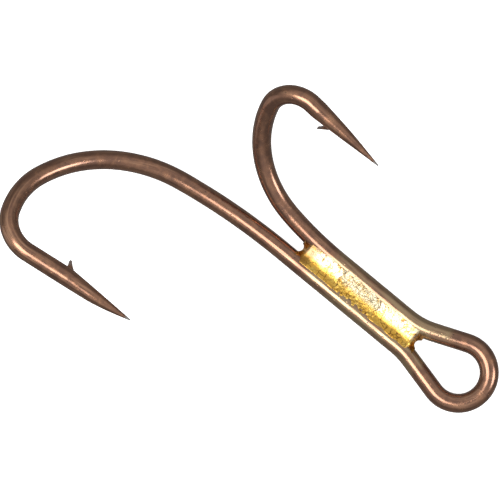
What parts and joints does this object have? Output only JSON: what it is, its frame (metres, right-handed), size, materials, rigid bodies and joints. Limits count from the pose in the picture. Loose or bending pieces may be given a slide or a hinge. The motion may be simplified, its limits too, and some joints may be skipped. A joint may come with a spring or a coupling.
{
  "type": "double fish hook",
  "caption": "Double fish hook bent from one bronzed wire: a looped eye, brazed shanks, and a large and a small barbed hook that rise out of the eye's plane.",
  "frame": {"origin": "centre of the eye's round end, on the wire's centre line", "axes": "+X along the shanks from the bends to the eye, +Y towards the small hook, +Z square to the eye's loop on the side where both points rise"},
  "size_m": [0.0338, 0.0211, 0.0076],
  "materials": {
    "bronzed_wire": "bronzed, glossy, with small nicks",
    "braze_brass": "as run, smooth at the ends and granular in the middle"
  },
  "bodies": {
    "root": {"hook_wire": "bronzed_wire", "braze": "braze_brass"}
  },
  "joints": []
}
